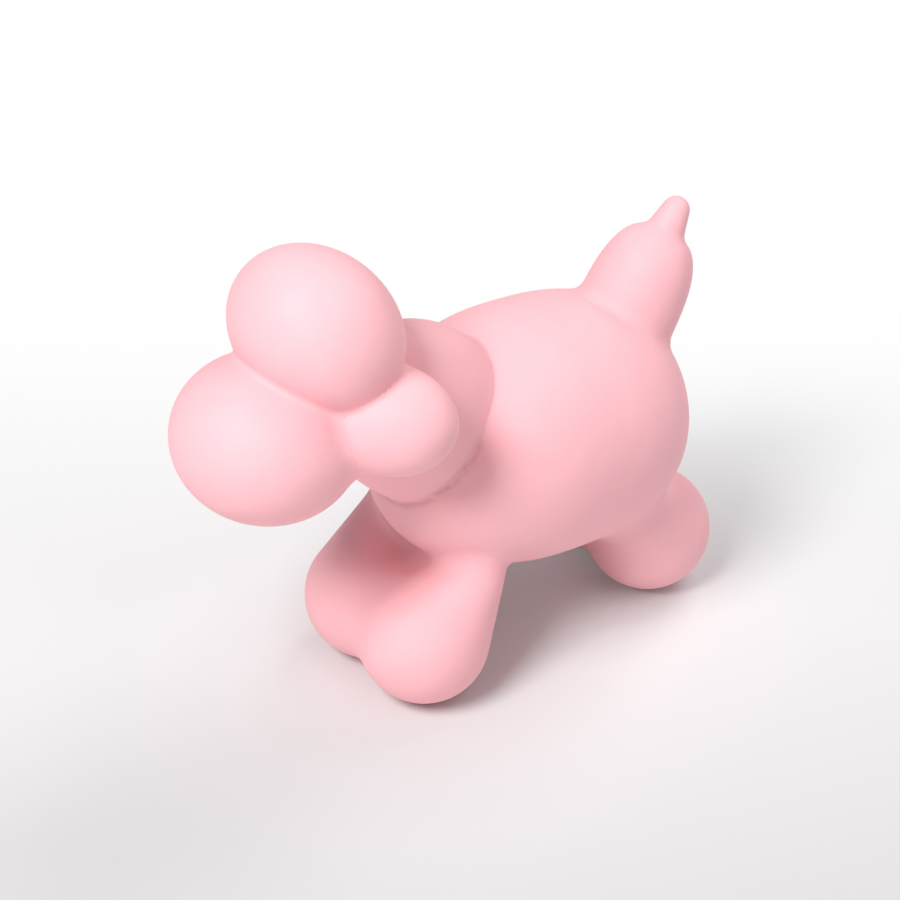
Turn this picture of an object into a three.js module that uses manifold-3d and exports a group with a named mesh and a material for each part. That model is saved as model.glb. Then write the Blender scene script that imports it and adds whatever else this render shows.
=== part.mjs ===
// A hollow latex squeaky toy in the form of a balloon-animal dog, in millimetres, with +Z up.
// The dog looks along -Y and its left side is +X. Its skin is one casting, divided here at the
// creases and waists where the rubber bends, and a push-in squeaker sits in its belly.
import * as THREE from 'three';
import { mergeVertices } from 'three/addons/utils/BufferGeometryUtils.js';
import Module from 'manifold-3d';

// The skin
const WALL = 2.6;
const GAP = 0.3; // clearance between neighbouring pieces

// The torso, a full egg on its side; a bubble's tilt lifts its rear end
const TORSO_WIDTH = 64;
const TORSO_LENGTH = 75.9;
const TORSO_HEIGHT = 63.5;
const TORSO_TILT = -7.3;
const TORSO_FULLNESS = 2.6; // 2 is an ellipsoid, and more is a fuller barrel
const BELLY_HEIGHT = 21.5; // lowest point of the torso above the floor

// The chest, which makes the torso fuller below the neck
const CHEST_WIDTH = 40;
const CHEST_LENGTH = 34;
const CHEST_HEIGHT = 34;
const CHEST_INSET = 11.2; // middle of the chest behind the torso's front end
const CHEST_DROP = 3.3; // middle of the chest below the torso's middle

// The flanks, the oval stretches of skin that fingers press
const FLANK_LENGTH = 46;
const FLANK_HEIGHT = 32;
const FLANK_RISE = 3; // middle of a flank above the torso's middle

// The neck, measured from the torso's front end and middle height
const NECK_WIDTH = 40.5;
const NECK_LENGTH = 48;
const NECK_HEIGHT = 41.5;
const NECK_TILT = -23;
const NECK_AHEAD = 3.6;
const NECK_RISE = 23.4;
const NOD_ANGLE = 8; // each way
const AIRWAY_DIAMETER = 25; // of the room inside the joint of neck and head

// The snout, measured from the middle of the neck
const SNOUT_WIDTH = 42.5;
const SNOUT_LENGTH = 41.5;
const SNOUT_HEIGHT = 41;
const SNOUT_TILT = 30;
const SNOUT_AHEAD = 36.5;
const SNOUT_RISE = 7.2;

// The topknot, measured from the middle of the snout
const TOPKNOT_WIDTH = 44;
const TOPKNOT_LENGTH = 36.5;
const TOPKNOT_HEIGHT = 40.5;
const TOPKNOT_TILT = 30;
const TOPKNOT_BEHIND = 14.5;
const TOPKNOT_RISE = 21.7;

// The ears, measured from the middle of the snout; they point outwards and sweep back
const EAR_LENGTH = 35;
const EAR_THICKNESS = 25;
const EAR_OUT = 15.4;
const EAR_BEHIND = 21.4;
const EAR_RISE = 3.5;
const EAR_SWEEP = 26;

// The legs: a bulb foot and a narrower root, with the roots measured from the torso's ends and belly
const FOOT_DIAMETER = 32;
const LEG_ROOT_DIAMETER = 20;
const FOOT_MERGE = 5; // how far each foot of a pair passes the middle, where they grow together
const FOOT_OUT = FOOT_DIAMETER / 2 - FOOT_MERGE;
const LEG_ROOT_OUT = 13.8;
const LEG_ROOT_RISE = 11;
const FRONT_FOOT_AHEAD = 4.5;
const FRONT_ROOT_INSET = 9.2;
const REAR_FOOT_INSET = 8.2;
const REAR_ROOT_INSET = 23.3;
const FOOT_FLAT = 0.5; // depth of the flat that each foot stands on

// The tail, an egg that leans back, sunk in the torso, with the nub of a balloon's free end
const TAIL_LENGTH = 63;
const TAIL_DIAMETER = 28;
const TAIL_LEAN = 31;
const TAIL_INSET = 11.8; // middle of the egg ahead of the torso's rear end
const TAIL_RISE = 16.4; // middle of the egg above the torso's middle
const NUB_DIAMETER = 7.8;
const NUB_LENGTH = 4.8;
const NUB_LEAN = 38;
const WAG_ANGLE = 10; // each way

// The squeaker's seat in the belly: a flat spot with a hole, thickened inside
const SEAT_DEPTH = 2.1;
const SEAT_THICKNESS = 3.2;
const SEAT_MARGIN = 1.5; // of the thickening round the flange
const SQUEAKER_AHEAD = 4.4; // of the torso's middle

// The squeaker housing, a flanged cup; the groove over its flange holds the rim of the hole
const FLANGE_DIAMETER = 21;
const FLANGE_THICKNESS = 1.6;
const FLANGE_CHAMFER = 0.5;
const GROOVE_DIAMETER = 16;
const BARB_DIAMETER = 19;
const BARB_LENGTH = 2;
const CUP_DIAMETER = 15;
const CUP_WALL = 1.1;
const CUP_HEIGHT = 15; // above the seat
const FLOOR_THICKNESS = 1.4;
const OUTLET_DIAMETER = 3.6;
const SOCKET_DIAMETER = 5.6;
const SOCKET_WALL = 1;
const SOCKET_HEIGHT = 4.5; // above the seat

// The reed and what holds it: a grooved half-round block and a half-round wedge
const BLOCK_HEIGHT = 12.5; // above the seat
const BLOCK_TIP = 1.4; // solid end above the air channel
const CHANNEL_WIDTH = 2.2;
const CHANNEL_DEPTH = 1.4;
const RELIEF_ANGLE = 3; // how the block's face falls away from the reed
const REED_WIDTH = 3.6;
const REED_THICKNESS = 0.3;
const REED_LENGTH = 9.6;
const REED_GRIP = 2; // length of the reed inside the socket

// The vented cover, a cap over the cup's inner end
const COVER_WALL = 1.2;
const COVER_SKIRT = 3.5;
const VENT_DIAMETER = 1.8;
const VENT_CIRCLE = 8.4;
const VENT_COUNT = 6;

// Facets round and along the forms
const BUBBLE_FACETS = { around: 24, along: 12 };
const TAIL_FACETS = { around: 20, along: 10 };
const EAR_FACETS = { around: 16, along: 8 };
const CHEST_FACETS = { around: 14, along: 7 };
const CAVITY_FACETS = { around: 12, along: 7 };
const TRUNK_CAVITY_FACETS = { around: 10, along: 6 };
const LIMB_FACETS = { around: 14, along: 4 };
const LIMB_CAVITY_FACETS = { around: 8, along: 2 };
const ROUND_FACETS = 28;
const VENT_FACETS = 12;

const MERGE_DISTANCE = 1e-4;
const RUN_OUT = 5; // how far a cutting tool passes the piece that it cuts
const X_AXIS = new THREE.Vector3(1, 0, 0);
const Y_AXIS = new THREE.Vector3(0, 1, 0);
const UNIT = new THREE.Vector3(1, 1, 1);
const UNMOVED = new THREE.Matrix4();

const wasm = await Module();
wasm.setup();

const radians = THREE.MathUtils.degToRad;
const at = (x, y, z) => new THREE.Vector3(x, y, z);
const moved = (x, y, z) => new THREE.Matrix4().makeTranslation(x, y, z);
const tilted = (degrees) => new THREE.Quaternion().setFromAxisAngle(X_AXIS, radians(degrees));

// A closed geometry, placed by a matrix, as a solid that can be joined and cut.
function solidOf(geometry, matrix = UNMOVED) {
  const placed = geometry.clone().applyMatrix4(matrix);
  placed.deleteAttribute('normal');
  placed.deleteAttribute('uv');
  const merged = mergeVertices(placed, MERGE_DISTANCE);
  const corners = merged.index.array;
  const triVerts = [];
  for (let i = 0; i < corners.length; i += 3) {
    const [a, b, c] = corners.slice(i, i + 3);
    if (a !== b && b !== c && c !== a) triVerts.push(a, b, c);
  }
  const vertProperties = merged.getAttribute('position').array;
  const mesh = new wasm.Mesh({ numProp: 3, vertProperties, triVerts: new Uint32Array(triVerts) });
  return new wasm.Manifold(mesh);
}

const cut = (solid, tools) => tools.reduce((left, tool) => left.subtract(tool), solid);

// A turn about an axis through a point.
function turnAbout(point, axis, degrees) {
  const turn = new THREE.Matrix4().makeRotationAxis(axis, radians(degrees));
  return moved(point.x, point.y, point.z).multiply(turn).multiply(moved(-point.x, -point.y, -point.z));
}

// A unit ball about Y whose surface is r^fullness + |y|^fullness = 1; a fullness of 2 keeps it round.
function ballOf(facets, fullness) {
  const ball = new THREE.SphereGeometry(1, facets.around, facets.along);
  const places = ball.getAttribute('position');
  for (let i = 0; i < places.count; i += 1) {
    const spot = at(0, 0, 0).fromBufferAttribute(places, i);
    const out = Math.hypot(spot.x, spot.z);
    const wider = out > 0 ? out ** (2 / fullness - 1) : 1;
    const along = Math.sign(spot.y) * Math.abs(spot.y) ** (2 / fullness);
    places.setXYZ(i, spot.x * wider, along, spot.z * wider);
  }
  return ball;
}

// A bubble of the skin, grown or shrunk all round.
function bubble(form, growth = 0, facets = form.facets, swung = UNMOVED) {
  const ball = ballOf(facets, form.fullness ?? 2);
  const half = form.size.clone().multiplyScalar(0.5).addScalar(growth);
  const placed = new THREE.Matrix4().compose(form.middle, form.turn, half);
  return solidOf(ball, swung.clone().multiply(placed));
}

const cavityOf = (form, facets = CAVITY_FACETS) => bubble(form, -WALL, facets);

// A limb: a ball at each end and the cone that touches both, turned about the line between them.
function limb(form, growth = 0, facets = LIMB_FACETS) {
  const axis = form.root.clone().sub(form.tip);
  const length = axis.length();
  const slope = Math.asin((form.tipDiameter - form.rootDiameter) / 2 / length);
  const ends = [
    { height: 0, radius: form.tipDiameter / 2 + growth, from: -Math.PI / 2, to: slope },
    { height: length, radius: form.rootDiameter / 2 + growth, from: slope, to: Math.PI / 2 },
  ];
  const profile = ends.flatMap(({ height, radius, from, to }) =>
    Array.from({ length: facets.along + 1 }, (_, i) => {
      const angle = THREE.MathUtils.lerp(from, to, i / facets.along);
      return new THREE.Vector2(radius * Math.cos(angle), height + radius * Math.sin(angle));
    }),
  );
  const turn = new THREE.Quaternion().setFromUnitVectors(Y_AXIS, axis.normalize());
  const placed = new THREE.Matrix4().compose(form.tip, turn, UNIT);
  return solidOf(new THREE.LatheGeometry(profile, facets.around), placed);
}

const limbCavityOf = (form) => limb(form, -WALL, LIMB_CAVITY_FACETS);

// A round bar along Z between two heights, about a point of the floor plan.
function bar(diameter, from, to, x = 0, y = 0, facets = ROUND_FACETS) {
  const upright = new THREE.CylinderGeometry(diameter / 2, diameter / 2, to - from, facets);
  return solidOf(upright.rotateX(Math.PI / 2), moved(x, y, (from + to) / 2));
}

// A brick between two corners.
function brick(low, high) {
  const size = high.clone().sub(low);
  const middle = low.clone().add(high).multiplyScalar(0.5);
  return solidOf(new THREE.BoxGeometry(size.x, size.y, size.z), moved(middle.x, middle.y, middle.z));
}

// A piece turned about Z from a closed outline of [radius, height] corners.
function turned(outline) {
  const profile = [...outline, outline[0]].map(([radius, height]) => new THREE.Vector2(radius, height));
  return solidOf(new THREE.LatheGeometry(profile, ROUND_FACETS).rotateX(Math.PI / 2));
}

// The angles at which a swinging piece is held against what it has to clear.
const swing = (most) => [-most, 0, most];

// The point where a line from a bubble's middle leaves its surface.
function exitPoint(form, towards) {
  const direction = towards.clone().sub(form.middle).normalize();
  const local = direction.clone().applyQuaternion(form.turn.clone().invert());
  const share = local.divide(form.size).multiplyScalar(2);
  const fullness = form.fullness ?? 2;
  const reach = (Math.hypot(share.x, share.z) ** fullness + Math.abs(share.y) ** fullness) ** (-1 / fullness);
  return form.middle.clone().addScaledVector(direction, reach);
}

// Where each bubble and limb lies, before the toy is set on its origin
const dropPower = TORSO_FULLNESS / (TORSO_FULLNESS - 1);
const dropAcross = (TORSO_HEIGHT / 2) * Math.cos(radians(TORSO_TILT));
const dropAlong = (TORSO_LENGTH / 2) * Math.abs(Math.sin(radians(TORSO_TILT)));
const torsoDrop = (dropAcross ** dropPower + dropAlong ** dropPower) ** (1 / dropPower);
const frontEnd = -TORSO_LENGTH / 2;
const rearEnd = TORSO_LENGTH / 2;
const torso = {
  middle: at(0, 0, BELLY_HEIGHT + torsoDrop),
  size: at(TORSO_WIDTH, TORSO_LENGTH, TORSO_HEIGHT),
  turn: tilted(TORSO_TILT),
  fullness: TORSO_FULLNESS,
  facets: BUBBLE_FACETS,
};
const chest = {
  middle: at(0, frontEnd + CHEST_INSET, torso.middle.z - CHEST_DROP),
  size: at(CHEST_WIDTH, CHEST_LENGTH, CHEST_HEIGHT),
  turn: tilted(0),
  facets: CHEST_FACETS,
};
const neck = {
  middle: at(0, frontEnd - NECK_AHEAD, torso.middle.z + NECK_RISE),
  size: at(NECK_WIDTH, NECK_LENGTH, NECK_HEIGHT),
  turn: tilted(NECK_TILT),
  facets: BUBBLE_FACETS,
};
const snout = {
  middle: neck.middle.clone().add(at(0, -SNOUT_AHEAD, SNOUT_RISE)),
  size: at(SNOUT_WIDTH, SNOUT_LENGTH, SNOUT_HEIGHT),
  turn: tilted(SNOUT_TILT),
  facets: BUBBLE_FACETS,
};
const topknot = {
  middle: snout.middle.clone().add(at(0, TOPKNOT_BEHIND, TOPKNOT_RISE)),
  size: at(TOPKNOT_WIDTH, TOPKNOT_LENGTH, TOPKNOT_HEIGHT),
  turn: tilted(TOPKNOT_TILT),
  facets: BUBBLE_FACETS,
};
const ear = (side) => ({
  middle: snout.middle.clone().add(at(side * EAR_OUT, EAR_BEHIND, EAR_RISE)),
  size: at(EAR_LENGTH, EAR_THICKNESS, EAR_THICKNESS),
  turn: new THREE.Quaternion().setFromEuler(new THREE.Euler(0, 0, side * radians(EAR_SWEEP))),
  facets: EAR_FACETS,
});
const ears = { ear_left: ear(1), ear_right: ear(-1) };
const leg = (side, footY, rootY) => ({
  tip: at(side * FOOT_OUT, footY, FOOT_DIAMETER / 2 - FOOT_FLAT),
  root: at(side * LEG_ROOT_OUT, rootY, BELLY_HEIGHT + LEG_ROOT_RISE),
  tipDiameter: FOOT_DIAMETER,
  rootDiameter: LEG_ROOT_DIAMETER,
});
const frontLeg = (side) => leg(side, frontEnd - FRONT_FOOT_AHEAD, frontEnd + FRONT_ROOT_INSET);
const rearLeg = (side) => leg(side, rearEnd - REAR_FOOT_INSET, rearEnd - REAR_ROOT_INSET);
const legs = {
  front_leg_left: frontLeg(1),
  front_leg_right: frontLeg(-1),
  rear_leg_left: rearLeg(1),
  rear_leg_right: rearLeg(-1),
};
const tail = {
  middle: at(0, rearEnd - TAIL_INSET, torso.middle.z + TAIL_RISE),
  size: at(TAIL_DIAMETER, TAIL_DIAMETER, TAIL_LENGTH),
  turn: tilted(-TAIL_LEAN),
  facets: TAIL_FACETS,
};
const nubRoot = at(0, 0, (TAIL_LENGTH - NUB_DIAMETER) / 2).applyQuaternion(tail.turn).add(tail.middle);
const nub = {
  tip: at(0, 0, NUB_LENGTH).applyQuaternion(tilted(-NUB_LEAN)).add(nubRoot),
  root: nubRoot,
  tipDiameter: NUB_DIAMETER,
  rootDiameter: NUB_DIAMETER,
};
const neckPivot = exitPoint(snout, neck.middle);
const tailPivot = exitPoint(torso, tail.middle);
const seatHeight = BELLY_HEIGHT + SEAT_DEPTH;
const squeakerPlace = at(0, -SQUEAKER_AHEAD, seatHeight);

const latex = { color: 0xf3bcc4, roughness: 0.6, metalness: 0 };
const whitePlastic = { color: 0xf1efe8, roughness: 0.45, metalness: 0 };
const reedPlastic = { color: 0xd9dcd6, roughness: 0.3, metalness: 0 };

// The head turns about the neck pivot and the tail about its own; the squeaker stands on its seat
const dog = new THREE.Group();
const toy = new THREE.Group();
const head = new THREE.Group();
const wagging = new THREE.Group();
const squeaker = new THREE.Group();
head.position.copy(neckPivot);
wagging.position.copy(tailPivot);
squeaker.position.copy(squeakerPlace);
toy.add(head, wagging, squeaker);
dog.add(toy);

// A solid as a named mesh in a group; a solid made in the toy's frame is moved to the group's own.
function addPiece(group, name, solid, finish, groupPlace = group.position) {
  const { vertProperties, triVerts } = solid.getMesh();
  const geometry = new THREE.BufferGeometry();
  geometry.setAttribute('position', new THREE.BufferAttribute(vertProperties, 3));
  geometry.setIndex(new THREE.BufferAttribute(triVerts, 1));
  geometry.translate(-groupPlace.x, -groupPlace.y, -groupPlace.z);
  geometry.computeVertexNormals();
  const mesh = new THREE.Mesh(geometry, new THREE.MeshStandardMaterial(finish));
  mesh.name = name;
  group.add(mesh);
}

// The torso's skin: a hollow egg with a full chest, ports to the limbs and a thickened flat seat
const trunk = (growth) => bubble(torso, growth).add(bubble(chest, growth));
function seatBar(diameter, from, to) {
  return bar(diameter, seatHeight + from, seatHeight + to, squeakerPlace.x, squeakerPlace.y);
}
const thickening = seatBar(FLANGE_DIAMETER + 2 * SEAT_MARGIN, 0, SEAT_THICKNESS).intersect(bubble(torso));
const trunkRooms = [torso, chest].map((form) => cavityOf(form, TRUNK_CAVITY_FACETS));
const trunkWall = cut(trunk(0), trunkRooms);
const torsoSkin = cut(trunkWall.add(thickening), [
  seatBar(FLANGE_DIAMETER + 2 * GAP, -SEAT_DEPTH - RUN_OUT, 0),
  seatBar(GROOVE_DIAMETER + 2 * GAP, -RUN_OUT, SEAT_THICKNESS + RUN_OUT),
  seatBar(BARB_DIAMETER + 2 * SEAT_MARGIN, SEAT_THICKNESS, SEAT_THICKNESS + RUN_OUT),
  cavityOf(neck),
  cavityOf(tail),
  ...Object.values(legs).map(limbCavityOf),
]);

// The flanks, punched out of the torso's sides along X
function flankPunch(side, growth) {
  const oval = new THREE.CylinderGeometry(1, 1, 1, BUBBLE_FACETS.around).rotateZ(Math.PI / 2);
  const middle = torso.middle.clone().add(at((side * TORSO_WIDTH) / 2, 0, FLANK_RISE));
  const size = at(TORSO_WIDTH - RUN_OUT, FLANK_LENGTH / 2 + growth, FLANK_HEIGHT / 2 + growth);
  return solidOf(oval, new THREE.Matrix4().compose(middle, torso.turn, size));
}
addPiece(toy, 'torso', cut(torsoSkin, [flankPunch(1, GAP), flankPunch(-1, GAP)]), latex);
addPiece(toy, 'flank_left', torsoSkin.intersect(flankPunch(1, 0)), latex);
addPiece(toy, 'flank_right', torsoSkin.intersect(flankPunch(-1, 0)), latex);

// The legs, cut where they meet the torso, each other and the floor
const wayOff = 2 * (TORSO_LENGTH + FOOT_DIAMETER);
const belowFloor = brick(at(-wayOff, -wayOff, -wayOff), at(wayOff, wayOff, 0));
const acrossMiddle = {
  front_leg_left: brick(at(-wayOff, -wayOff, -wayOff), at(GAP / 2, wayOff, wayOff)),
  front_leg_right: brick(at(-GAP / 2, -wayOff, -wayOff), at(wayOff, wayOff, wayOff)),
};
acrossMiddle.rear_leg_left = acrossMiddle.front_leg_left;
acrossMiddle.rear_leg_right = acrossMiddle.front_leg_right;
for (const [name, form] of Object.entries(legs)) {
  const hollow = limb(form).subtract(limbCavityOf(form));
  addPiece(toy, name, cut(hollow, [trunk(GAP), acrossMiddle[name], belowFloor]), latex);
}

// The head: the snout is whole, the topknot is cut by it and the ears by both; a wall ends where a
// neighbour's hollow begins, where two neighbours overlap and at the airway
const headForms = { snout, topknot, ...ears };
const airwayRoom = at(AIRWAY_DIAMETER, AIRWAY_DIAMETER, AIRWAY_DIAMETER);
const airway = { middle: neckPivot, size: airwayRoom, turn: tilted(0), facets: CAVITY_FACETS };
function headPorts(form) {
  const neighbours = [neck, ...Object.values(headForms)].filter((other) => other !== form);
  const overlaps = neighbours.flatMap((one, i) =>
    neighbours.slice(i + 1).map((other) => bubble(one).intersect(bubble(other))),
  );
  const rooms = [form, ...neighbours].map((other) => cavityOf(other));
  return [bubble(airway), ...rooms, ...overlaps];
}
const largerForms = [];
for (const [name, form] of Object.entries(headForms)) {
  const larger = largerForms.map((other) => bubble(other, GAP));
  addPiece(head, name, cut(bubble(form), [...larger, ...headPorts(form)]), latex);
  if (form === snout || form === topknot) largerForms.push(form);
}

// The neck, cut by the torso and by the head wherever the nod takes it
const headPath = swing(NOD_ANGLE).flatMap((angle) => {
  const nodded = turnAbout(neckPivot, X_AXIS, angle);
  return Object.values(headForms).map((form) => bubble(form, GAP, form.facets, nodded));
});
addPiece(toy, 'neck', cut(bubble(neck), [cavityOf(neck), trunk(GAP), ...headPath]), latex);

// The tail with its nub, cut by the torso wherever the wag takes it
const torsoPath = swing(WAG_ANGLE).map((angle) =>
  bubble(torso, GAP, torso.facets, turnAbout(tailPivot, Y_AXIS, angle)),
);
addPiece(wagging, 'tail', cut(bubble(tail).add(limb(nub)), [cavityOf(tail), ...torsoPath]), latex);

// The squeaker's pieces are made about its own axis, with the seat at height 0
const ownAxis = at(0, 0, 0);
const flangeUnder = -GAP - FLANGE_THICKNESS;
const socketFloor = flangeUnder + FLOOR_THICKNESS;
const grooveTop = SEAT_THICKNESS + GAP;
const cupInside = CUP_DIAMETER / 2 - CUP_WALL;
const socketOutside = SOCKET_DIAMETER / 2 + SOCKET_WALL;
const housing = turned([
  [OUTLET_DIAMETER / 2, flangeUnder],
  [FLANGE_DIAMETER / 2 - FLANGE_CHAMFER, flangeUnder],
  [FLANGE_DIAMETER / 2, flangeUnder + FLANGE_CHAMFER],
  [FLANGE_DIAMETER / 2, -GAP],
  [GROOVE_DIAMETER / 2, -GAP],
  [GROOVE_DIAMETER / 2, grooveTop],
  [BARB_DIAMETER / 2, grooveTop],
  [CUP_DIAMETER / 2, grooveTop + BARB_LENGTH],
  [CUP_DIAMETER / 2, CUP_HEIGHT],
  [cupInside, CUP_HEIGHT],
  [cupInside, socketFloor],
  [socketOutside, socketFloor],
  [socketOutside, SOCKET_HEIGHT],
  [SOCKET_DIAMETER / 2, SOCKET_HEIGHT],
  [SOCKET_DIAMETER / 2, socketFloor],
  [OUTLET_DIAMETER / 2, socketFloor],
]);
addPiece(squeaker, 'squeaker_housing', housing, whitePlastic, ownAxis);

// The reed block, half a round bar with an air channel in its face, which falls away from the reed
const plugDiameter = SOCKET_DIAMETER - 2 * GAP;
const plugFoot = socketFloor + GAP;
const reedHalf = brick(
  at(0, -SOCKET_DIAMETER, plugFoot - RUN_OUT),
  at(SOCKET_DIAMETER, SOCKET_DIAMETER, BLOCK_HEIGHT + RUN_OUT),
);
const channel = brick(
  at(-CHANNEL_DEPTH, -CHANNEL_WIDTH / 2, plugFoot - RUN_OUT),
  at(SOCKET_DIAMETER, CHANNEL_WIDTH / 2, BLOCK_HEIGHT - BLOCK_TIP),
);
const reliefTool = new THREE.BoxGeometry(SOCKET_DIAMETER, 2 * SOCKET_DIAMETER, 2 * BLOCK_HEIGHT);
const relief = solidOf(
  reliefTool.translate(SOCKET_DIAMETER / 2, 0, BLOCK_HEIGHT),
  turnAbout(ownAxis, Y_AXIS, -RELIEF_ANGLE).premultiply(moved(0, 0, SOCKET_HEIGHT)),
);
const reedBlock = cut(bar(plugDiameter, plugFoot, BLOCK_HEIGHT), [reedHalf, channel, relief]);
addPiece(squeaker, 'reed_block', reedBlock, whitePlastic, ownAxis);

// The reed, a thin strip that beats on the block and is held in the mouth of the socket
const reedFoot = SOCKET_HEIGHT - REED_GRIP;
const reed = brick(
  at(GAP, -REED_WIDTH / 2, reedFoot),
  at(GAP + REED_THICKNESS, REED_WIDTH / 2, reedFoot + REED_LENGTH),
);
addPiece(squeaker, 'reed', reed, reedPlastic, ownAxis);

// The wedge, the other side of the round bar, which holds the reed's root
const reedRoom = brick(
  at(-SOCKET_DIAMETER, -SOCKET_DIAMETER, plugFoot - RUN_OUT),
  at(GAP + REED_THICKNESS + GAP, SOCKET_DIAMETER, SOCKET_HEIGHT + RUN_OUT),
);
const wedge = bar(plugDiameter, plugFoot, SOCKET_HEIGHT).subtract(reedRoom);
addPiece(squeaker, 'reed_wedge', wedge, whitePlastic, ownAxis);

// The cover, a cap with a ring of vents
const skirtInside = CUP_DIAMETER / 2 + GAP;
const capUnder = CUP_HEIGHT + GAP;
const cap = turned([
  [0, capUnder],
  [skirtInside, capUnder],
  [skirtInside, capUnder - COVER_SKIRT],
  [skirtInside + COVER_WALL, capUnder - COVER_SKIRT],
  [skirtInside + COVER_WALL, capUnder + COVER_WALL],
  [0, capUnder + COVER_WALL],
]);
const vents = Array.from({ length: VENT_COUNT }, (_, i) => {
  const angle = (2 * Math.PI * i) / VENT_COUNT;
  const x = (VENT_CIRCLE / 2) * Math.cos(angle);
  const y = (VENT_CIRCLE / 2) * Math.sin(angle);
  return bar(VENT_DIAMETER, capUnder - COVER_WALL, capUnder + 2 * COVER_WALL, x, y, VENT_FACETS);
});
addPiece(squeaker, 'squeaker_cover', cut(cap, vents), whitePlastic, ownAxis);

// The origin is on the floor, under the middle of the toy's box
const box = new THREE.Box3().setFromObject(toy);
toy.position.set(-(box.min.x + box.max.x) / 2, -(box.min.y + box.max.y) / 2, -box.min.z);

export default dog;
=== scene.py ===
import bpy
import numpy as np
from mathutils import Matrix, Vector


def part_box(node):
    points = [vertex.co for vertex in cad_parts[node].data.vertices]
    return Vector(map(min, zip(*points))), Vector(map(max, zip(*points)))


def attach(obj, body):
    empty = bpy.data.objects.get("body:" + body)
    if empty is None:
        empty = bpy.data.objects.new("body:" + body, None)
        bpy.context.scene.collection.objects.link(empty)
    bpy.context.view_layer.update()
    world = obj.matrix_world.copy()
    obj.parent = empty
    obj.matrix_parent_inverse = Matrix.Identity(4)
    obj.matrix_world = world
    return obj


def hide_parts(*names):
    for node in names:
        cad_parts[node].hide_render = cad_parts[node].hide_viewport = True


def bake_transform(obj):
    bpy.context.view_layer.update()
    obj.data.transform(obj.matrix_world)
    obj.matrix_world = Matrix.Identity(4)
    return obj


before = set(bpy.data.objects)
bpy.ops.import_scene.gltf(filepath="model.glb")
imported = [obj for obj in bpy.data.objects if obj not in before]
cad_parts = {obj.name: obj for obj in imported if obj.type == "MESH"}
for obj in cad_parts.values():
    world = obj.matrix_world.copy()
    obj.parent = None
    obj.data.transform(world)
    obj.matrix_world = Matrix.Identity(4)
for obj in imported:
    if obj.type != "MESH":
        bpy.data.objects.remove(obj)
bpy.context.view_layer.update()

# The skin is one hollow latex casting in the form of a balloon-animal dog. Its bubbles swell into one
# another with small fillets at the creases, and the legs run softly into the torso. All its swellings
# have their forms here, in millimetres, because each piece of the skin ends at its neighbours' creases.
MM = 0.001
TINY = 1e-6  # keeps a division away from zero
TRUNK_LENGTH = 80  # places along the dog are measured from the trunk's two ends
SQUEAKER_AHEAD = 5.05  # of the trunk's middle
BELLY_HEIGHT = 22

squeaker_low, squeaker_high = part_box("squeaker_housing")
squeaker_y = (squeaker_low.y + squeaker_high.y) / 2 / MM
trunk_y = squeaker_y + SQUEAKER_AHEAD
front = trunk_y - TRUNK_LENGTH / 2
rear = trunk_y + TRUNK_LENGTH / 2


def turned_about_x(degrees):
    """The rotation about X that lifts the rear end of a bubble by an angle."""
    c, s = np.cos(np.radians(degrees)), np.sin(np.radians(degrees))
    return np.array([[1, 0, 0], [0, c, -s], [0, s, c]])


def turned_about_z(degrees):
    """The rotation about Z that swings +X towards the rear by an angle."""
    c, s = np.cos(np.radians(degrees)), np.sin(np.radians(degrees))
    return np.array([[c, -s, 0], [s, c, 0], [0, 0, 1]])


class Bubble:
    """A swelling of the casting, in millimetres: its middle, its sizes and its turn.

    With r the distance from its Y axis and y the place along it, both as shares of its half sizes, its
    surface is r^power + |y|^power = 1. A power of 2 is an ellipsoid, and more is a fuller barrel.
    """

    def __init__(self, middle, size, turn, power=2.0):
        self.middle = np.array(middle, float)
        self.half = np.array(size, float) / 2
        self.turn = turn
        self.power = power

    def distance(self, points):
        """About the distance to the surface: (k - 1) / |grad k|, where k^power = r^power + |y|^power."""
        local = (points - self.middle) @ self.turn / self.half
        r = np.hypot(local[..., 0], local[..., 2]) + TINY
        y = np.abs(local[..., 1])
        k = (r**self.power + y**self.power) ** (1 / self.power)
        ring = (r / k) ** (self.power - 1) / r
        ring *= np.hypot(local[..., 0] / self.half[0], local[..., 2] / self.half[2])
        slope = np.hypot(ring, (y / k) ** (self.power - 1) / self.half[1])
        return (k - 1) / slope

    def surface(self, across, along, pole):
        """Points and normals on a grid: along runs from pole to pole of one axis, across round it.

        The place along the axis is -cos(v) and the ring's radius sin(v), each to the power of 2 / power.
        """
        v, u = np.meshgrid(along, across, indexing="ij")
        one, other = [i for i in range(3) if i != pole]
        bend = 2 / self.power
        ring = np.abs(np.sin(v)) ** bend
        ball = np.empty(u.shape + (3,))
        ball[..., pole] = -np.sign(np.cos(v)) * np.abs(np.cos(v)) ** bend
        ball[..., one] = ring * np.cos(u)
        ball[..., other] = ring * np.sin(u)
        share = np.stack([ring, ring, ring], axis=-1)
        share[..., pole] = np.abs(ball[..., pole])
        normals = ball * np.maximum(share, TINY) ** (self.power - 2) / self.half
        normals /= np.linalg.norm(normals, axis=-1, keepdims=True)
        return self.middle + (ball * self.half) @ self.turn.T, normals @ self.turn.T


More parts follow.
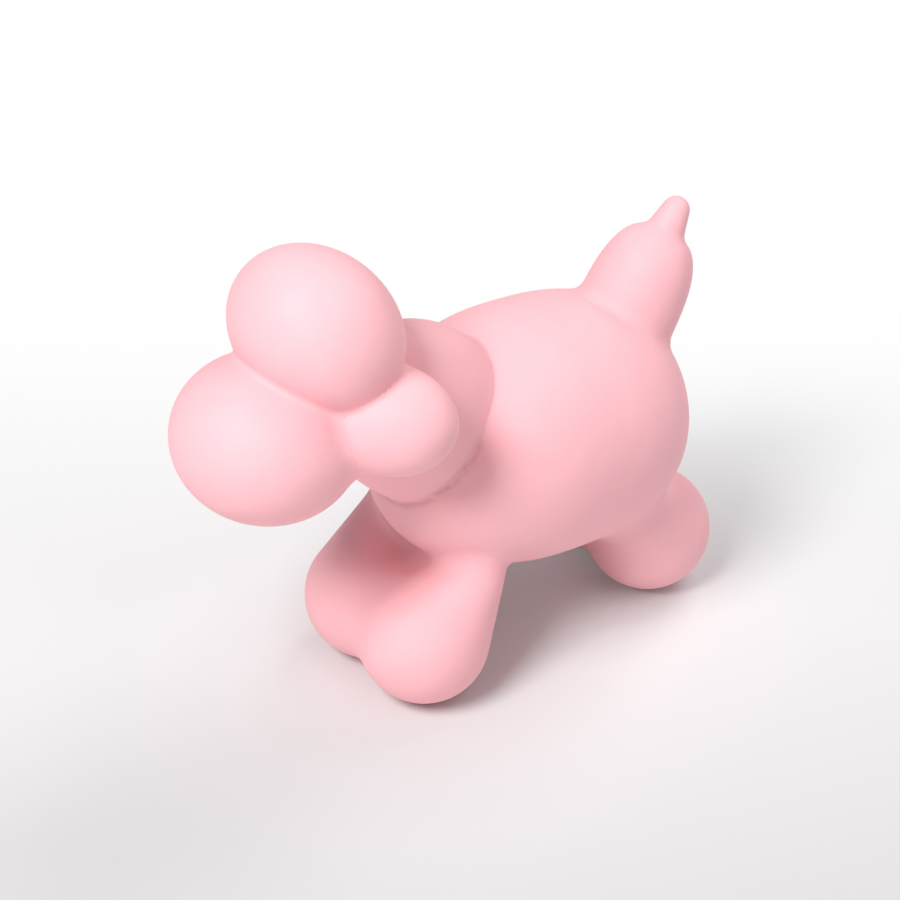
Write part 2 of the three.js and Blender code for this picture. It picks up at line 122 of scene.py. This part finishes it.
class Limb:
    """A ball at each end and the cone that touches both, in millimetres."""

    def __init__(self, tip, root, tip_size, root_size):
        self.tip, self.root = np.array(tip, float), np.array(root, float)
        self.tip_radius, self.root_radius = tip_size / 2, root_size / 2
        self.length = np.linalg.norm(self.root - self.tip)
        self.axis = (self.root - self.tip) / self.length
        self.slope = np.arcsin((self.tip_radius - self.root_radius) / self.length)

    def distance(self, points):
        """Distance to the nearest of the two balls and the cone, by where a point lies along the axis."""
        along = (points - self.tip) @ self.axis
        out = np.linalg.norm(points - self.tip - along[..., None] * self.axis, axis=-1)
        foot = along - out * np.tan(self.slope)
        to_tip = np.hypot(out, along) - self.tip_radius
        to_root = np.hypot(out, along - self.length) - self.root_radius
        to_cone = out * np.cos(self.slope) + along * np.sin(self.slope) - self.tip_radius
        return np.where(foot < 0, to_tip, np.where(foot > self.length, to_root, to_cone))

    def surface(self, across, rows):
        """Points and normals of the profile, ball, cone, ball, carried round the axis by angles across."""
        bend = np.pi / 2 + self.slope
        on_ball = self.tip_radius * bend
        on_cone = self.length * np.cos(self.slope)
        run = np.linspace(0, on_ball + on_cone + self.root_radius * (np.pi - bend), rows + 2)[1:-1]
        tip_angle = run / self.tip_radius - np.pi / 2
        root_angle = (run - on_ball - on_cone) / self.root_radius + self.slope
        ends = [run < on_ball, run > on_ball + on_cone]
        angle = np.select(ends, [tip_angle, root_angle], self.slope)
        share = np.clip((run - on_ball) / on_cone, 0, 1)
        radius = self.tip_radius + share * (self.root_radius - self.tip_radius)
        side = np.cross(self.axis, [0.0, 1.0, 0.0])
        side /= np.linalg.norm(side)
        around = np.cos(across)[:, None] * side + np.sin(across)[:, None] * np.cross(self.axis, side)
        normals = np.cos(angle)[:, None, None] * around + np.sin(angle)[:, None, None] * self.axis
        middles = self.tip + (share * self.length)[:, None] * self.axis
        return middles[:, None] + radius[:, None, None] * normals, normals


torso = Bubble(
    middle=(0, trunk_y - 0.64, BELLY_HEIGHT + 31.9),
    size=(64, 75.9, 63.5),
    turn=turned_about_x(-7.3),
    power=2.6,
)
chest = Bubble(middle=(0, front + 12.6, 50.6), size=(40, 34, 34), turn=turned_about_x(0))
neck = Bubble(middle=(0, front + 5.5, 71.3), size=(33.6, 56, 42.4), turn=turned_about_x(-43.5), power=2.4)
snout = Bubble(middle=(0, front - 38.6, 83.8), size=(44, 43.2, 38.4), turn=turned_about_x(-9))
throat = Limb(tip=(0, front + 2.6, 75), root=snout.middle + (0, 8, -1), tip_size=28, root_size=28)
topknot = Bubble(middle=(0, front - 24, 106.2), size=(44, 35.5, 40.6), turn=turned_about_x(34))
tail = Bubble(middle=(0, rear - 14.7, 69.9), size=(25.4, 56.8, 25.4), turn=turned_about_x(57.4), power=3.1)
NUB_ROOT, NUB_TIP = 27.4, 33.8  # along the tail from its middle
nub = Limb(
    tip=tail.middle + tail.turn @ (0, NUB_TIP, 0),
    root=tail.middle + tail.turn @ (0, NUB_ROOT, 0),
    tip_size=6.9,
    root_size=9.8,
)
EAR_OUT = 15.8
EAR_SWEEP = 28  # degrees


def ear(side):
    """The form of one ear, a small bubble that points outwards and sweeps back."""
    middle = (side * EAR_OUT, front - 16.8, 87.9)
    return Bubble(middle, size=(33.4, 26, 25.2), turn=turned_about_z(side * EAR_SWEEP))


FOOT_SIZE = 32
FOOT_OUT = 11
FOOT_FLAT = 0.5  # depth of the flat that a foot stands on
LEG_ROOT_SIZE = 13
LEG_ROOT_OUT = 17.5
LEG_ROOT_RISE = 10.5  # above the belly


def leg(side, foot_y, root_y):
    """The form of one leg, from the ball of its foot to a narrower root inside the torso."""
    tip = (side * FOOT_OUT, foot_y, FOOT_SIZE / 2 - FOOT_FLAT)
    root = (side * LEG_ROOT_OUT, root_y, BELLY_HEIGHT + LEG_ROOT_RISE)
    return Limb(tip, root, tip_size=FOOT_SIZE, root_size=LEG_ROOT_SIZE)


def web(y):
    """The form of the rubber that joins a pair of legs under the belly."""
    return Bubble(middle=(0, y, 25), size=(28, 14, 16), turn=turned_about_x(0))


SIDES = {1: "left", -1: "right"}
ears = {side: ear(side) for side in SIDES}
front_legs = {side: leg(side, front - 3.1, front + 8.1) for side in SIDES}
rear_legs = {side: leg(side, rear - 10.9, rear - 26) for side in SIDES}
webs = {"front": web(front + 9), "rear": web(rear - 22)}

# The casting joins the swellings in three groups, trunk, neck and head, with a fillet at each crease.
# The skin has no seams, so a piece follows the common surface as far as the crease with its neighbour
# and then dives under it. Each entry is a form, the width of its fillet and the piece that it belongs to.
SOFT = 5  # fillets, in millimetres
TIGHT = 1.6
COLLAR = 1.2  # fillet between the groups
CHEST_FILLET = 10
FEET_FILLET = 7
TAIL_FILLET = 2.6
REACH = 9  # how far from a piece's own form the common surface may lie
OWN_SHARE = 0.8  # of that reach, in which a piece follows it
HALVINGS = 20
OVERRUN = 0.3  # how far a piece runs on past a crease before it dives
DEEPEST = 3
DIVE = 0.3
NECK_DIVE = 1.0
FAR = 1e3

body_forms = [
    (torso, SOFT, torso),
    (chest, CHEST_FILLET, torso),
    (front_legs[1], SOFT, front_legs[1]),
    (front_legs[-1], FEET_FILLET, front_legs[-1]),
    (rear_legs[1], SOFT, rear_legs[1]),
    (rear_legs[-1], FEET_FILLET, rear_legs[-1]),
    (webs["front"], SOFT, webs["front"]),
    (webs["rear"], SOFT, webs["rear"]),
    (tail, TAIL_FILLET, tail),
    (nub, TIGHT, nub),
]
head_bubbles = [
    (snout, SOFT, snout),
    (throat, SOFT, throat),
    (ears[1], SOFT, ears[1]),
    (ears[-1], SOFT, ears[-1]),
    (topknot, TIGHT, topknot),
]
casting = [body_forms, [(neck, TIGHT, neck)], head_bubbles]


def union(one, other, width):
    """The lesser of two distances, rounded off over a fillet of a width."""
    share = np.maximum(width - np.abs(one - other), 0) / width
    return np.minimum(one, other) - share**2 * width / 4


def cast(points, normals, own):
    """Moves points out along their normals, by halving, to the surface of the whole casting.

    Past the crease with a neighbour the points dive under its surface, by a share of the overlap squared.
    """
    dive = NECK_DIVE if own is neck else DIVE
    near = []
    chosen = np.zeros(points.shape[:-1], bool)
    for group in casting:
        apart = [form.distance(points) for form, _, _ in group]
        near.append([part for part, away in zip(group, apart) if away.min() < 2 * REACH])
        for (form, _, _), away in zip(group, apart):
            chosen |= (away < REACH) & (form is not own)
    start, outward = points[chosen], normals[chosen]
    low = np.zeros(len(start))
    high = low + REACH
    for _ in range(HALVINGS):
        middle = (low + high) / 2
        moved = start + middle[:, None] * outward
        total = np.full(len(start), FAR)
        mine, rest = total, total
        for group in near:
            swelling = np.full(len(start), FAR)
            for form, fillet, owner in group:
                away = form.distance(moved)
                swelling = union(swelling, away, fillet)
                if owner is own:
                    mine = np.minimum(mine, away)
                else:
                    rest = np.minimum(rest, away)
            total = union(total, swelling, COLLAR)
        past = np.clip(mine - rest - OVERRUN, 0, DEEPEST)
        inside = (total + dive * past**2 < 0) & (mine < REACH * OWN_SHARE)
        low, high = np.where(inside, middle, low), np.where(inside, high, middle)
    result = points.copy()
    result[chosen] = start + low[:, None] * outward
    return result


# The latex is matt natural rubber, cast in a mould and pink all through. It has soft clouds of colour, a
# dusty bloom, a few smudges of handling and a fine grain, and the folds where the neck is pinched into
# the torso are pitted and darkened with painted shade. Each piece marks those folds on its points for the
# finish to read.
LATEX_PINK = (0.93, 0.48, 0.522, 1)
LATEX_WARM = (0.94, 0.47, 0.494, 1)
LATEX_BLOOM = (0.92, 0.525, 0.562, 1)
LATEX_SMUDGE = (0.78, 0.37, 0.42, 1)
# painted shade for the fold round the neck
LATEX_FOLD_SHADE = (0.74, 0.31, 0.37, 1)
RELIEF = 0.0006  # depth of the bumps, in metres
FOLD_WIDTH = 1.8
FOLD_DEPTH = 4  # from the neck's surface
FOLD_HEIGHTS = (64, 74)  # where the fold fades
FOLD_STRENGTHS = (1, 0.3)


class Value:
    """A socket of a node tree; arithmetic on it adds Math nodes."""

    def __init__(self, nodes, socket):
        self.nodes, self.socket = nodes, socket

    def maths(self, operation, *terms):
        return self.nodes.add("ShaderNodeMath", {"operation": operation}, dict(enumerate(terms)))

    def larger(self, other):
        return self.maths("MAXIMUM", self, other)

    def __add__(self, other):
        return self.maths("ADD", self, other)

    __radd__ = __add__

    def __sub__(self, other):
        return self.maths("SUBTRACT", self, other)

    def __rsub__(self, other):
        return self.maths("SUBTRACT", other, self)

    def __mul__(self, other):
        return self.maths("MULTIPLY", self, other)

    __rmul__ = __mul__


class Nodes:
    """A node tree whose nodes are added one at a time and come back as values."""

    def __init__(self, tree):
        self.tree = tree

    def set(self, node, sockets):
        """Gives each named socket of a node its link or its value."""
        for key, value in sockets.items():
            if isinstance(value, Value):
                self.tree.links.new(value.socket, node.inputs[key])
            else:
                node.inputs[key].default_value = value

    def add(self, kind, settings, sockets, output=0):
        """Adds a node by its type, its settings and the links or values of its sockets."""
        node = self.tree.nodes.new(kind)
        for key, value in settings.items():
            if key == "stops":
                for stop, (place, shade) in zip(node.color_ramp.elements, value):
                    stop.position, stop.color = place, (shade, shade, shade, 1)
            else:
                setattr(node, key, value)
        self.set(node, sockets)
        return self.value(node, output)

    def value(self, node, output=0):
        return Value(self, node.outputs[output])

    def seen(self):
        """1 for rays from the camera, straight or by mirror or glass, and 0 for light that bounces."""
        kinds = ("Camera", "Glossy", "Transmission")
        straight, mirrored, through = [
            self.add("ShaderNodeLightPath", {}, {}, f"Is {kind} Ray") for kind in kinds
        ]
        return straight.larger(mirrored).larger(through)


class Finish(Nodes):
    """A material, with the nodes that its patterns are made of."""

    def __init__(self, name):
        self.material = bpy.data.materials.new(name)
        self.material.use_nodes = True
        super().__init__(self.material.node_tree)
        self.shader = self.tree.nodes["Principled BSDF"]

    def place(self):
        return self.add("ShaderNodeTexCoord", {}, {}, "Object")

    def noise(self, place, scale, detail=2.0, roughness=0.5):
        sockets = {"Vector": place, "Scale": scale, "Detail": detail, "Roughness": roughness}
        return self.add("ShaderNodeTexNoise", {}, sockets, "Fac")

    def ramp(self, value, stops):
        return self.add("ShaderNodeValToRGB", {"stops": stops}, {"Fac": value}, "Color")

    def mix(self, share, one, other):
        sockets = {"Factor": share, 6: one, 7: other}
        return self.add("ShaderNodeMix", {"data_type": "RGBA"}, sockets, 2)

    def bump(self, height, depth):
        sockets = {"Height": height, "Distance": depth, "Strength": 1.0}
        return self.add("ShaderNodeBump", {}, sockets, "Normal")


latex = Finish("latex")
spot = latex.place()
clouds = latex.noise(spot, scale=38, detail=3, roughness=0.55)
bloom = latex.ramp(latex.noise(spot, scale=85, detail=4, roughness=0.6), [(0.45, 0), (0.75, 1)])
smudges = latex.ramp(latex.noise(spot, scale=60, detail=5, roughness=0.65), [(0.62, 0), (0.85, 1)])
pits = latex.ramp(latex.noise(spot, scale=420, detail=3), [(0.35, 0), (0.65, 1)])
grain = latex.noise(spot, scale=1600, detail=2)
ripple = latex.noise(spot, scale=120, detail=1)
fold = latex.add("ShaderNodeAttribute", {"attribute_name": "fold"}, {}, "Fac")
tone = latex.mix(clouds, LATEX_PINK, LATEX_WARM)
tone = latex.mix(bloom * 0.35, tone, LATEX_BLOOM)
tone = latex.mix(smudges * 0.12, tone, LATEX_SMUDGE)
# painted shade: the fold round the neck, more so at its pits, is darkened towards the fold colour
tone = latex.mix(fold * (0.4 + pits * 0.5), tone, LATEX_FOLD_SHADE)
latex.set(
    latex.shader,
    {
        "Base Color": tone,
        "Roughness": 0.52 + clouds * 0.10 + grain * 0.06,
        "Normal": latex.bump(grain * 0.03 + ripple * 0.5 - fold * (0.7 + pits * 0.5), RELIEF),
        "Specular IOR Level": 0.35,
    },
)


def skin_piece(piece):
    """Gives a piece the latex, and marks how near each point is to the fold round the neck, from 0 to 1, for
    the painted shade and the dent that the finish puts there.

    The fold is where the distances to the trunk and to the neck are alike and small.
    """
    corners = np.empty(len(piece.data.vertices) * 3)
    piece.data.vertices.foreach_get("co", corners)
    points = corners.reshape(-1, 3) / MM
    body = np.full(len(points), FAR)
    for form, fillet, _ in body_forms:
        body = union(body, form.distance(points), fillet)
    collar = neck.distance(points)
    alike = np.clip(1 - np.abs(body - collar) / FOLD_WIDTH, 0, 1) ** 2
    nearness = alike * np.clip(1 - np.abs(collar) / FOLD_DEPTH, 0, 1)
    nearness *= np.interp(points[:, 2], FOLD_HEIGHTS, FOLD_STRENGTHS)
    piece.data.attributes.new("fold", "FLOAT", "POINT").data.foreach_set("value", nearness)
    piece.data.materials.append(latex.material)
    return piece


# The torso is the biggest bubble of the casting, hollow, and open inside to the neck, legs and tail. It
# is made as two shells that lap at the middle, and a round recess in the belly takes the flange of the
# squeaker.
GRID = 0.5  # spacing of the points of a piece, in millimetres
TORSO_REACH = 34  # from the torso's axis to its side, for the count of points across
LAP = np.radians(2.0)  # how far a half runs past the middle
LAP_DIP = 1  # how far it goes under the other half there
POLE_FADE = 3  # how fast the dip grows from the poles
SEAT_RADIUS = 10.9
SEAT_EDGE = 0.6
SEAT_HEIGHT = 23.6
INNER_STEP = 8  # columns of the outer wall to one of the inner wall
INNER_SHARE = (0.99, 0.92)  # of the outer wall's distance from the middle, at the squeaker and beyond
INNER_RADII = (11, 14)


def closed_mesh(name, rows, first, last):
    """A mesh of rows of points that close on themselves, with a pole before the first and after the last."""
    count, around = rows.shape[:2]
    corners = np.concatenate([[first], rows.reshape(-1, 3), [last]]) * MM
    index = 1 + np.arange(count * around).reshape(count, around)
    after = np.roll(index, -1, axis=1)
    quads = np.stack([index[:-1], after[:-1], after[1:], index[1:]], axis=-1).reshape(-1, 4)
    start = np.stack([np.zeros(around, int), after[0], index[0]], axis=-1)
    end = np.stack([np.full(around, len(corners) - 1), index[-1], after[-1]], axis=-1)
    loops = np.concatenate([quads.ravel(), start.ravel(), end.ravel()])
    totals = np.concatenate([np.full(len(quads), 4), np.full(2 * around, 3)])
    mesh = bpy.data.meshes.new(name)
    mesh.vertices.add(len(corners))
    mesh.vertices.foreach_set("co", corners.ravel())
    mesh.loops.add(len(loops))
    mesh.loops.foreach_set("vertex_index", loops)
    mesh.polygons.add(len(totals))
    mesh.polygons.foreach_set("loop_start", np.cumsum(totals) - totals)
    mesh.polygons.foreach_set("loop_total", totals)
    mesh.polygons.foreach_set("use_smooth", np.ones(len(totals), bool))
    mesh.update(calc_edges=True)
    piece = bpy.data.objects.new(name, mesh)
    bpy.context.scene.collection.objects.link(piece)
    return piece


def torso_half(name, side):
    """One side of the torso: half of its surface, cast, with an inner wall and a recess in the belly.

    The inner wall lies at a share of the outer one's distance from the torso's middle.
    """
    across = np.linspace(-np.pi / 2 - LAP, np.pi / 2 + LAP, int(np.pi * TORSO_REACH / GRID))
    along = np.linspace(0, np.pi, int(np.pi * TRUNK_LENGTH / 2 / GRID) + 2)
    points, normals = torso.surface(across, along, pole=1)
    points = cast(points, normals, torso)
    past = np.clip((np.abs(across) - np.pi / 2) / LAP, 0, 1)
    dip = np.minimum(np.sin(along) * POLE_FADE, LAP_DIP)
    points -= dip[:, None, None] * (past**2)[None, :, None] * normals
    from_axis = np.hypot(points[..., 0], points[..., 1] - squeaker_y)
    ceiling = np.interp(from_axis, [SEAT_RADIUS, SEAT_RADIUS + SEAT_EDGE], [SEAT_HEIGHT, 0])
    points[..., 2] = np.maximum(points[..., 2], ceiling)
    share = np.interp(from_axis[:, ::-INNER_STEP], INNER_RADII, INNER_SHARE)[..., None]
    inner = torso.middle + share * (points[:, ::-INNER_STEP] - torso.middle)
    points = np.concatenate([points, inner], axis=1)
    points[..., 0] *= side
    if side > 0:
        points = points[:, ::-1]
    mid = points.shape[1] // 2
    return skin_piece(closed_mesh(name, points[1:-1], points[0, mid], points[-1, mid]))


for side, word in SIDES.items():
    half = torso_half(f"torso_{word}_skin", side)
    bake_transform(half)
    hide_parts("torso", f"flank_{word}")

# The neck is a short barrel of the same rubber, pinched into the torso at the collar, and the throat
# fills the waist between it and the head.
FEWEST_AROUND = 80  # points of a small limb
FEWEST_ROWS = 60


def whole(name, form, pole):
    """A bubble from pole to pole of one of its axes, with its points moved to the casting's surface."""
    around = int(np.pi * max(form.half[i] * 2 for i in range(3) if i != pole) / GRID)
    rows = int(np.pi * form.half.mean() / GRID)
    across = np.linspace(0, 2 * np.pi, around, endpoint=False)
    along = np.linspace(0, np.pi, rows + 2)
    points, normals = form.surface(across, along, pole)
    points = cast(points, normals, form)
    if pole == 1:
        points = points[:, ::-1]
    return skin_piece(closed_mesh(name, points[1:-1], points[0, 0], points[-1, 0]))


def limb_piece(name, form):
    """A limb from tip to root, with its points moved to the casting's surface and none below the floor."""
    around = max(int(2 * np.pi * form.tip_radius / GRID), FEWEST_AROUND)
    rows = max(int((form.length + np.pi * form.tip_radius) / GRID), FEWEST_ROWS)
    points, normals = form.surface(np.linspace(0, 2 * np.pi, around, endpoint=False), rows)
    points = cast(points, normals, form)
    ends = [form.tip - form.tip_radius * form.axis, form.root + form.root_radius * form.axis]
    for part in (points, *ends):
        part[..., 2] = np.maximum(part[..., 2], 0)
    return skin_piece(closed_mesh(name, points, *ends))


neck_skin = whole("neck_skin", neck, pole=1)
throat_skin = limb_piece("throat_skin", throat)
for piece in (neck_skin, throat_skin):
    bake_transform(piece)
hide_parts("neck")

# The head is four bubbles of the casting, grown together: the snout, the topknot over it and an ear on
# each side. They are stiff beside the waist of the neck, so they ride with the head as it nods.
head_forms = {
    "snout": (snout, 1),
    "topknot": (topknot, 2),
    "ear_left": (ears[1], 0),
    "ear_right": (ears[-1], 0),
}
for name, (form, pole) in head_forms.items():
    piece = whole(f"{name}_skin", form, pole)
    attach(piece, "head")
    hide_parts(name)

# The legs are bulb feet that taper up into the belly, hollow like the rest, with a web of rubber between
# the two of a pair.
for end, form in webs.items():
    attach(whole(f"{end}_web_skin", form, pole=0), "skin")

for end, legs in (("front", front_legs), ("rear", rear_legs)):
    for side, word in SIDES.items():
        name = f"{end}_leg_{word}"
        piece = limb_piece(f"{name}_skin", legs[side])
        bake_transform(piece)
        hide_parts(name)

tail_skin = whole("tail_skin", tail, pole=1)
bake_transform(tail_skin)
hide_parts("tail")
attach(limb_piece("tail_nub_skin", nub), "tail")

# The squeaker is pushed into a seat in the belly: a round housing with a flange, a cover over its inner
# end, and between them a block and a wedge that grip a thin reed. It is plain white moulded plastic.
PLASTIC_WHITE = (0.86, 0.85, 0.80, 1)
PLASTIC_CREAM = (0.82, 0.80, 0.74, 1)
REED_PALE = (0.70, 0.71, 0.67, 1)
REED_GREY = (0.66, 0.68, 0.64, 1)

moulded = Finish("squeaker_plastic")
spot = moulded.place()
moulded.set(
    moulded.shader,
    {
        "Base Color": moulded.mix(moulded.noise(spot, scale=300, detail=3), PLASTIC_WHITE, PLASTIC_CREAM),
        "Roughness": 0.38 + moulded.noise(spot, scale=900, detail=2) * 0.12,
    },
)
strip = Finish("reed_plastic")
spot = strip.place()
strip.set(
    strip.shader,
    {
        "Base Color": strip.mix(strip.noise(spot, scale=500, detail=2), REED_PALE, REED_GREY),
        "Roughness": 0.16 + strip.noise(spot, scale=700, detail=3) * 0.10,
    },
)
finishes = {
    "squeaker_housing": moulded,
    "squeaker_cover": moulded,
    "reed_block": moulded,
    "reed_wedge": moulded,
    "reed": strip,
}
for name, finish in finishes.items():
    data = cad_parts[name].data
    data.materials.clear()
    data.materials.append(finish.material)

# The camera looks down at the dog from its front left, as the photograph does, with a long lens. Its
# angles, distance and lens were fitted to the outlines of the toy in a frame of 900 pixels.
AZIMUTH, ELEVATION = np.radians(51.7), np.radians(35.1)
CAMERA_DISTANCE = 644.4
FOCAL_PIXELS = 2618.1
FRAME_PIXELS = 900
SENSOR = 36
AIM_ASIDE = -20.7
AIM_HEIGHT = 46.0

right = np.array([np.cos(AZIMUTH), np.sin(AZIMUTH), 0])
toward = np.array([np.sin(AZIMUTH), -np.cos(AZIMUTH), 0])
back = np.cos(ELEVATION) * toward + np.sin(ELEVATION) * np.array([0, 0, 1])
target = right * AIM_ASIDE + np.array([0, trunk_y, AIM_HEIGHT])


def aimed(thing, eye, at):
    """Places a camera or lamp, given in millimetres, so that it looks along its own -Z at a point."""
    z = (eye - at) / np.linalg.norm(eye - at)
    x = np.cross([0, 0, 1], z)
    x /= np.linalg.norm(x)
    y = np.cross(z, x)
    matrix = np.eye(4)
    matrix[:3] = np.stack([x, y, z, eye * MM], axis=1)
    thing.matrix_world = Matrix(matrix.tolist())
    bpy.context.scene.collection.objects.link(thing)


camera = bpy.data.objects.new("camera", bpy.data.cameras.new("camera"))
camera.data.sensor_width = SENSOR
camera.data.lens = FOCAL_PIXELS * SENSOR / FRAME_PIXELS
camera.data.clip_start = 10 * MM
aimed(camera, target + back * CAMERA_DISTANCE, target)
bpy.context.scene.camera = camera

# The floor is a sheet of pale paper, a hair below the feet. As the camera sees it, painted shade darkens it
# in front of the toy, and a painted white glow behind it and far out pales the floor and the shadow there;
# the light that bounces off it is plain.
FLOOR_HALF = 4  # in metres, as are the places below
FLOOR_LEVEL = -0.0004
BOUNCE_TONE = 0.79
NEAR_TONE, NEAR_AWAY = 0.60, -0.10
MIDDLE_TONE, MIDDLE_AWAY = 0.73, 0.01
PALING = (0.0, 0.16)  # behind the toy
FADING = (0.16, 0.5)  # out from the toy

floor_mesh = bpy.data.meshes.new("floor")
corners = [(x * FLOOR_HALF, y * FLOOR_HALF, FLOOR_LEVEL) for x, y in ((-1, -1), (1, -1), (1, 1), (-1, 1))]
floor_mesh.from_pydata(corners, [], [(0, 1, 2, 3)])
floor = bpy.data.objects.new("floor", floor_mesh)
bpy.context.scene.collection.objects.link(floor)

paper = Finish("floor_paper")
floor_mesh.materials.append(paper.material)


def eased(value, span):
    """0 below a span of a value, 1 above it, and a smooth step between."""
    sockets = {"Value": value, "From Min": span[0], "From Max": span[1]}
    return paper.add("ShaderNodeMapRange", {"interpolation_type": "SMOOTHSTEP"}, sockets)


spot = paper.place()
away = paper.add("ShaderNodeVectorMath", {"operation": "DOT_PRODUCT"}, {0: spot, 1: tuple(-toward)}, "Value")
out = paper.add("ShaderNodeVectorMath", {"operation": "LENGTH"}, {0: spot}, "Value")
shading = {
    "Value": away,
    "From Min": NEAR_AWAY,
    "From Max": MIDDLE_AWAY,
    "To Min": NEAR_TONE,
    "To Max": MIDDLE_TONE,
}
seen = paper.seen()
# painted shade: the tone the camera sees darkens from the middle tone to the near tone in front of the toy
tone = BOUNCE_TONE - seen * (BOUNCE_TONE - paper.add("ShaderNodeMapRange", {}, shading))
paper.set(paper.shader, {"Base Color": tone, "Roughness": 0.9, "Specular IOR Level": 0.0})
# painted light: a white glow for the camera that grows behind the toy and out from it, paling the floor and
# its shadow
white = eased(away, PALING).larger(eased(out, FADING)) * seen
glow = paper.add("ShaderNodeEmission", {}, {"Strength": 1.0})
cover = paper.add("ShaderNodeMixShader", {}, {0: white, 1: paper.value(paper.shader), 2: glow})
paper.set(paper.tree.nodes["Material Output"], {"Surface": cover})

# Three round soft lamps stand a metre from the torso: the key in front on the left, a weaker one behind
# on the right and a weak one in front on the right. The room gives a dim cool light, and the camera and
# mirrors see a pale backdrop in its place.
LAMP_DISTANCE = 1000
LAMPS = {
    "key_lamp": {"around": 322, "height": 48, "size": 0.4, "power": 9.1},
    "back_lamp": {"around": 135, "height": 50, "size": 0.7, "power": 4.1},
    "side_lamp": {"around": 45, "height": 50, "size": 0.7, "power": 1.5},
}
ROOM_LIGHT = (0.94, 0.92, 1, 1)
ROOM_STRENGTH = 0.27
BACKDROP = (0.8, 0.8, 0.8, 1)

for name, place in LAMPS.items():
    around, height = np.radians(place["around"]), np.radians(place["height"])
    level = np.sin(around) * right + np.cos(around) * toward
    direction = np.cos(height) * level + np.sin(height) * np.array([0, 0, 1])
    lamp = bpy.data.objects.new(name, bpy.data.lights.new(name, "AREA"))
    lamp.data.shape = "DISK"
    lamp.data.size = place["size"]
    lamp.data.energy = place["power"]
    aimed(lamp, torso.middle + direction * LAMP_DISTANCE, torso.middle)

world = bpy.data.worlds.new("studio")
bpy.context.scene.world = world
world.use_nodes = True
room = Nodes(world.node_tree)
room_light = room.tree.nodes["Background"]
room.set(room_light, {"Color": ROOM_LIGHT, "Strength": ROOM_STRENGTH})
backdrop = room.add("ShaderNodeBackground", {}, {"Color": BACKDROP, "Strength": 1.0})
either = room.add("ShaderNodeMixShader", {}, {0: room.seen(), 1: room.value(room_light), 2: backdrop})
room.set(room.tree.nodes["World Output"], {"Surface": either})

bpy.context.scene.view_settings.view_transform = "Standard"
